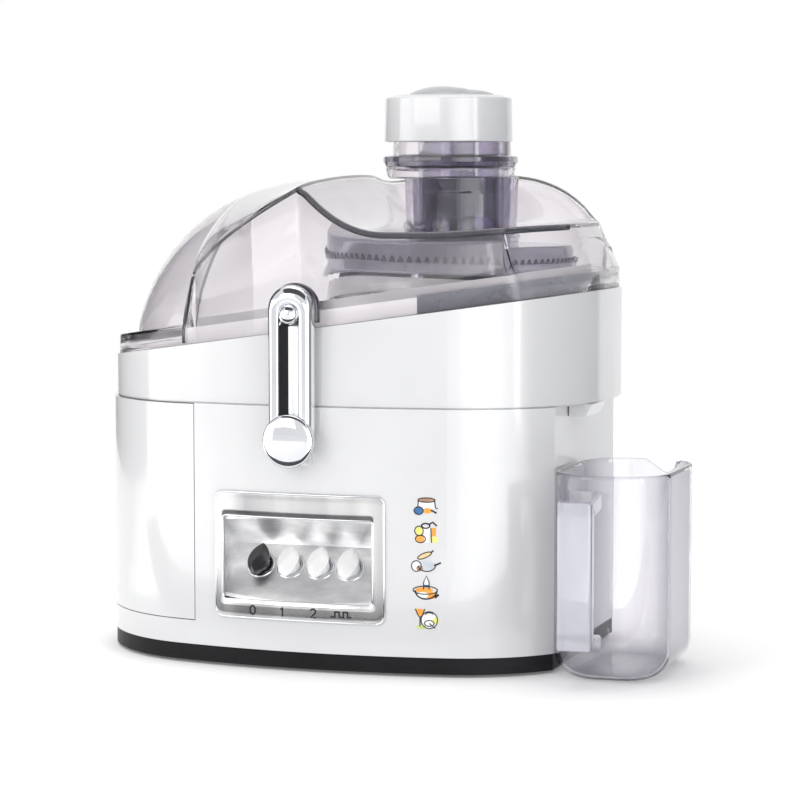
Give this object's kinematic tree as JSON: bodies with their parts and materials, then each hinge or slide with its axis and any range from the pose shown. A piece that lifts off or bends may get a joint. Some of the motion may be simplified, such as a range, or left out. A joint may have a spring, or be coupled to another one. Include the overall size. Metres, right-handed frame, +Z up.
{
  "type": "centrifugal juicer",
  "caption": "Centrifugal juicer: oval white body with push keys, clear domed lid with feed chute and pusher, spinning grating basket, pulp bin, jug and lid clamps.",
  "frame": {"origin": "middle of the whole machine's box, on the surface it stands on", "axes": "+Z up, -Y the front with the keys, +X towards the jug"},
  "size_m": [0.3418, 0.2422, 0.3226],
  "materials": {
    "white_shell": "high gloss",
    "black_plastic": "satin",
    "rubber": "matt",
    "seal_rubber": "matt translucent",
    "steel": "brushed",
    "mirror_chrome": "mirror",
    "silver_panel": "satin",
    "lamination": "varnished",
    "copper": "varnished",
    "carbon": "matt",
    "smoke_clear": "clear, smoky tint",
    "grey_cap": "gloss",
    "white_key": "gloss",
    "black_key": "gloss"
  },
  "bodies": {
    "base": {"base_tray": "black_plastic", "rubber_feet": "rubber", "base_screws": "steel", "motor_housing": "white_shell", "clamp_ears": "white_shell", "cord_gland": "rubber", "control_panel": "silver_panel", "key_pocket": "mirror_chrome", "switch_bank": "black_plastic", "microswitch": "black_plastic", "lower_bracket": "steel", "upper_bracket": "steel", "motor_mounts": "rubber", "motor_bolts": "steel", "stator_core": "lamination", "field_coils": "copper", "brush_holders": "copper", "carbon_brushes": "carbon", "lower_bearing": "steel", "upper_bearing": "steel", "shaft_seal": "rubber"},
    "rotor": {"motor_shaft": "steel", "armature": "lamination", "commutator": "copper", "cooling_fan": "black_plastic", "drive_coupling": "black_plastic"},
    "collector": {"juice_collector": "white_shell", "collector_bowl": "white_shell", "juice_spout": "white_shell"},
    "basket": {"basket_hub": "white_shell", "basket_mesh": "steel", "basket_rim": "white_shell", "grating_disc": "steel", "basket_nut": "steel"},
    "lid": {"lid_dome": "smoke_clear", "lid_seal": "seal_rubber", "basket_cover": "smoke_clear", "feed_chute": "smoke_clear"},
    "pusher": {"pusher_body": "smoke_clear", "pusher_cap": "white_shell", "pusher_cap_dome": "grey_cap"},
    "pulp_bin": {"pulp_bin": "white_shell"},
    "jug": {"jug": "smoke_clear"},
    "key_off": {"key_off": "black_key"},
    "key_low": {"key_low": "white_key"},
    "key_high": {"key_high": "white_key"},
    "key_pulse": {"key_pulse": "white_key"},
    "front_clamp": {"front_clamp_arm": "mirror_chrome", "front_clamp_knob": "mirror_chrome", "front_clamp_pin": "steel"},
    "rear_clamp": {"rear_clamp_arm": "mirror_chrome", "rear_clamp_knob": "mirror_chrome", "rear_clamp_pin": "steel"}
  },
  "joints": [
    {"name": "rotor_spin", "type": "hinge", "parent": "base", "child": "rotor", "pos_m": [0.021, 0, 0.08], "axis": [0, 0, 1], "continuous": true},
    {"name": "collector_lift", "type": "slide", "parent": "base", "child": "collector", "axis": [0, 0, 1], "range_m": [0, 0.2]},
    {"name": "basket_spin", "type": "hinge", "parent": "collector", "child": "basket", "pos_m": [0.021, 0, 0.17], "axis": [0, 0, 1], "continuous": true},
    {"name": "lid_lift", "type": "slide", "parent": "collector", "child": "lid", "axis": [0, 0, 1], "range_m": [0, 0.2]},
    {"name": "pusher_lift", "type": "slide", "parent": "lid", "child": "pusher", "axis": [0, 0, 1], "range_m": [0, 0.12]},
    {"name": "bin_slide", "type": "slide", "parent": "base", "child": "pulp_bin", "axis": [-1, 0, 0], "range_m": [0, 0.12]},
    {"name": "jug_slide", "type": "slide", "parent": "base", "child": "jug", "axis": [1, 0, 0], "range_m": [0, 0.12]},
    {"name": "key_off_press", "type": "slide", "parent": "base", "child": "key_off", "axis": [0, 0.72, -0.6939], "range_m": [0, 0.004], "stiffness_N_per_m": 800, "springref_m": -0.001},
    {"name": "key_low_press", "type": "slide", "parent": "base", "child": "key_low", "axis": [0, 0.72, -0.6939], "range_m": [0, 0.004], "stiffness_N_per_m": 800, "springref_m": -0.001},
    {"name": "key_high_press", "type": "slide", "parent": "base", "child": "key_high", "axis": [0, 0.72, -0.6939], "range_m": [0, 0.004], "stiffness_N_per_m": 800, "springref_m": -0.001},
    {"name": "key_pulse_press", "type": "slide", "parent": "base", "child": "key_pulse", "axis": [0, 0.72, -0.6939], "range_m": [0, 0.004], "stiffness_N_per_m": 800, "springref_m": -0.001},
    {"name": "front_clamp_swing", "type": "hinge", "parent": "base", "child": "front_clamp", "pos_m": [-0.029, -0.1135, 0.118], "axis": [1, 0, 0], "range_deg": [0, 90]},
    {"name": "rear_clamp_swing", "type": "hinge", "parent": "base", "child": "rear_clamp", "pos_m": [-0.029, 0.1135, 0.118], "axis": [-1, 0, 0], "range_deg": [0, 90]}
  ],
  "couplings": [
    {"joint": "basket_spin", "follows": "rotor_spin", "ratio": 1}
  ]
}
